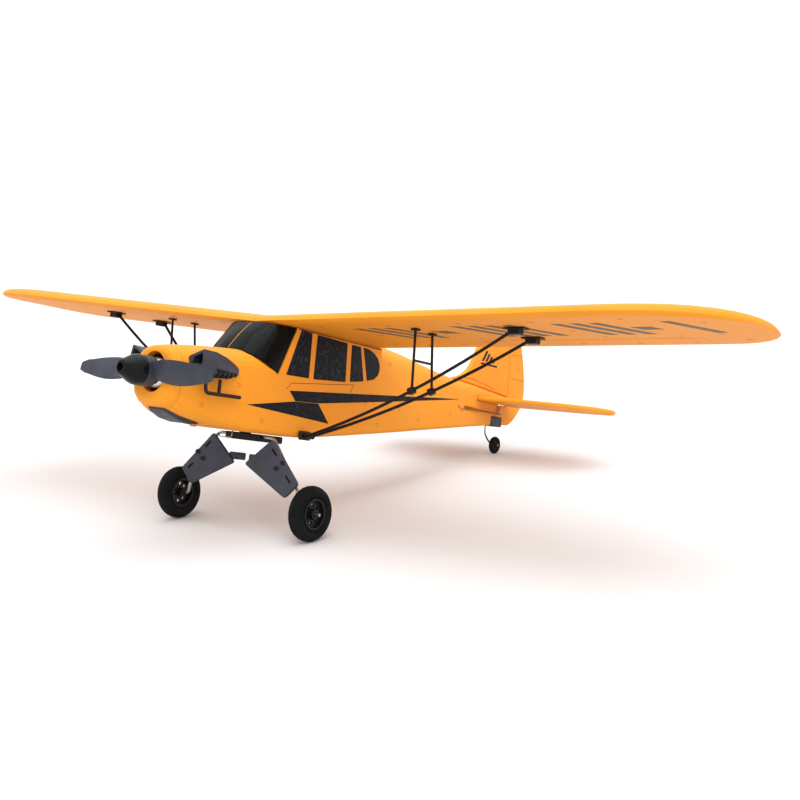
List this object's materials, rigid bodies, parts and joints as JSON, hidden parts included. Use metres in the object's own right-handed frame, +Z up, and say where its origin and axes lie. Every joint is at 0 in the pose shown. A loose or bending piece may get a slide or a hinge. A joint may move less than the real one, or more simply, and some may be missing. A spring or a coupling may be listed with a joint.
{
  "type": "rc foam airplane",
  "caption": "High-wing foam radio-control trainer airplane with paddle propeller, braced wing, moving ailerons, elevator and rudder, and tail-wheel landing gear.",
  "frame": {"origin": "centre of the bounding box on the ground plane, standing on its three wheels", "axes": "+X to the airplane's left wing tip, +Y towards the tail, nose at -Y, +Z up; nose-up rest attitude"},
  "size_m": [0.638, 0.4614, 0.1519],
  "materials": {
    "yellow_foam": "moulded bead foam, painted yellow-orange",
    "slate_plastic": "satin moulded plastic",
    "black_plastic": "satin moulded plastic",
    "gloss_black": "glossy vacuum-formed",
    "tyre": "soft foam rubber",
    "tail_tyre": "rubber",
    "steel_wire": "spring wire",
    "motor_silver": "machined",
    "dark_metal": "dark brown coating",
    "grey_plastic": "satin",
    "nylon": "satin nylon",
    "servo_case": "smooth case",
    "battery_wrap": "shrink wrap",
    "circuit_board": "solder mask"
  },
  "bodies": {
    "airframe": {"fuselage": "yellow_foam", "cowl_nose": "yellow_foam", "lower_scoop": "slate_plastic", "windshield": "gloss_black", "wing_right": "yellow_foam", "wing_left": "yellow_foam", "servo_aileron_right": "servo_case", "servo_aileron_left": "servo_case", "wing_strut_right": "black_plastic", "wing_strut_left": "black_plastic", "strut_fitting_right": "dark_metal", "strut_fitting_left": "dark_metal", "strut_bracket_right_front": "black_plastic", "strut_bracket_left_front": "black_plastic", "strut_bracket_right_rear": "black_plastic", "strut_bracket_left_rear": "black_plastic", "jury_strut_right": "black_plastic", "jury_strut_left": "black_plastic", "fin": "yellow_foam", "stabilizer": "yellow_foam", "tail_box": "grey_plastic", "servo_elevator": "servo_case", "servo_rudder": "servo_case", "motor_mount": "dark_metal", "cylinder_right": "slate_plastic", "cylinder_left": "slate_plastic", "exhaust_right": "dark_metal", "exhaust_left": "dark_metal", "gear_wire": "steel_wire", "gear_clamp": "black_plastic", "gear_plate_right": "slate_plastic", "gear_plate_left": "slate_plastic", "battery": "battery_wrap", "receiver": "circuit_board"},
    "propeller_unit": {"propeller": "slate_plastic", "prop_hub": "black_plastic", "motor_bell": "motor_silver"},
    "aileron_left_unit": {"aileron_left": "yellow_foam", "horn_aileron_left": "nylon"},
    "aileron_right_unit": {"aileron_right": "yellow_foam", "horn_aileron_right": "nylon"},
    "elevator_unit": {"elevator": "yellow_foam", "horn_elevator": "nylon"},
    "rudder_unit": {"rudder": "yellow_foam", "horn_rudder": "nylon"},
    "arm_aileron_left_unit": {"arm_aileron_left": "nylon"},
    "arm_aileron_right_unit": {"arm_aileron_right": "nylon"},
    "arm_elevator_unit": {"arm_elevator": "nylon"},
    "arm_rudder_unit": {"arm_rudder": "nylon"},
    "pushrod_aileron_left_unit": {"pushrod_aileron_left": "steel_wire"},
    "pushrod_aileron_right_unit": {"pushrod_aileron_right": "steel_wire"},
    "pushrod_elevator_unit": {"pushrod_elevator": "steel_wire"},
    "pushrod_rudder_unit": {"pushrod_rudder": "steel_wire"},
    "hatch_unit": {"battery_hatch": "yellow_foam"},
    "wheel_left_unit": {"tyre_left": "tyre", "rim_left": "black_plastic"},
    "wheel_right_unit": {"tyre_right": "tyre", "rim_right": "black_plastic"},
    "tail_fork_unit": {"tail_wire": "steel_wire"},
    "tail_wheel_unit": {"tail_wheel": "tail_tyre"}
  },
  "joints": [
    {"name": "propeller_spin", "type": "hinge", "parent": "airframe", "child": "propeller_unit", "pos_m": [0, -0.21201, 0.11253], "axis": [0, 0.9743, -0.2251], "continuous": true},
    {"name": "aileron_left_hinge", "type": "hinge", "parent": "airframe", "child": "aileron_left_unit", "pos_m": [0.184, -0.03187, 0.12636], "axis": [0.9985, 0.0121, 0.0525], "range_deg": [-25, 25]},
    {"name": "aileron_right_hinge", "type": "hinge", "parent": "airframe", "child": "aileron_right_unit", "pos_m": [-0.184, -0.03187, 0.12636], "axis": [0.9985, -0.0121, -0.0525], "range_deg": [-25, 25]},
    {"name": "aileron_servo_left", "type": "hinge", "parent": "airframe", "child": "arm_aileron_left_unit", "pos_m": [0.1825, -0.05359, 0.13362], "axis": [1, 0, 0], "range_deg": [-25, 25]},
    {"name": "aileron_servo_right", "type": "hinge", "parent": "airframe", "child": "arm_aileron_right_unit", "pos_m": [-0.1825, -0.05359, 0.13362], "axis": [1, 0, 0], "range_deg": [-25, 25]},
    {"name": "aileron_pushrod_left_slide", "type": "slide", "parent": "airframe", "child": "pushrod_aileron_left_unit", "axis": [0, 0.9503, -0.3115], "range_m": [-0.0029, 0.0029]},
    {"name": "aileron_pushrod_right_slide", "type": "slide", "parent": "airframe", "child": "pushrod_aileron_right_unit", "axis": [0, 0.9503, -0.3115], "range_m": [-0.0029, 0.0029]},
    {"name": "elevator_hinge", "type": "hinge", "parent": "airframe", "child": "elevator_unit", "pos_m": [0, 0.17658, 0.04595], "axis": [1, 0, 0], "range_deg": [-25, 25]},
    {"name": "elevator_servo", "type": "hinge", "parent": "airframe", "child": "arm_elevator_unit", "pos_m": [0.0084, 0.00254, 0.06563], "axis": [1, 0, 0], "range_deg": [-25, 25]},
    {"name": "elevator_pushrod_slide", "type": "slide", "parent": "airframe", "child": "pushrod_elevator_unit", "axis": [0, 0.9743, -0.2251], "range_m": [-0.0046, 0.0046]},
    {"name": "rudder_hinge", "type": "hinge", "parent": "airframe", "child": "rudder_unit", "pos_m": [0, 0.19766, 0.02456], "axis": [0, 0.1292, 0.9916], "range_deg": [-28, 28]},
    {"name": "rudder_servo", "type": "hinge", "parent": "airframe", "child": "arm_rudder_unit", "pos_m": [-0.0084, 0.02358, 0.05451], "axis": [1, 0, 0], "range_deg": [-28, 28]},
    {"name": "rudder_pushrod_slide", "type": "slide", "parent": "airframe", "child": "pushrod_rudder_unit", "axis": [0, 0.9743, -0.2251], "range_m": [-0.0051, 0.0051]},
    {"name": "tail_wheel_steer", "type": "hinge", "parent": "airframe", "child": "tail_fork_unit", "pos_m": [0, 0.16707, 0.027], "axis": [0, 0.2251, 0.9743], "range_deg": [-28, 28]},
    {"name": "tail_wheel_spin", "type": "hinge", "parent": "tail_fork_unit", "child": "tail_wheel_unit", "pos_m": [0, 0.18174, 0.0074], "axis": [1, 0, 0], "continuous": true},
    {"name": "wheel_left_spin", "type": "hinge", "parent": "airframe", "child": "wheel_left_unit", "pos_m": [0.0589, -0.13384, 0.0177], "axis": [1, 0, 0], "continuous": true},
    {"name": "wheel_right_spin", "type": "hinge", "parent": "airframe", "child": "wheel_right_unit", "pos_m": [-0.0589, -0.13384, 0.0177], "axis": [1, 0, 0], "continuous": true},
    {"name": "battery_hatch_hinge", "type": "hinge", "parent": "airframe", "child": "hatch_unit", "pos_m": [0, -0.13589, 0.06569], "axis": [1, 0, 0], "range_deg": [0, 75]}
  ],
  "couplings": [
    {"joint": "aileron_right_hinge", "follows": "aileron_left_hinge", "ratio": -1},
    {"joint": "aileron_servo_left", "follows": "aileron_left_hinge", "ratio": 1},
    {"joint": "aileron_servo_right", "follows": "aileron_left_hinge", "ratio": -1},
    {"joint": "aileron_pushrod_left_slide", "follows": "aileron_left_hinge", "m_per_rad": -0.005976},
    {"joint": "aileron_pushrod_right_slide", "follows": "aileron_left_hinge", "m_per_rad": 0.005976},
    {"joint": "elevator_servo", "follows": "elevator_hinge", "ratio": -1},
    {"joint": "elevator_pushrod_slide", "follows": "elevator_hinge", "m_per_rad": 0.01},
    {"joint": "rudder_servo", "follows": "rudder_hinge", "ratio": 1},
    {"joint": "rudder_pushrod_slide", "follows": "rudder_hinge", "m_per_rad": -0.01},
    {"joint": "tail_wheel_steer", "follows": "rudder_hinge", "ratio": 1}
  ]
}
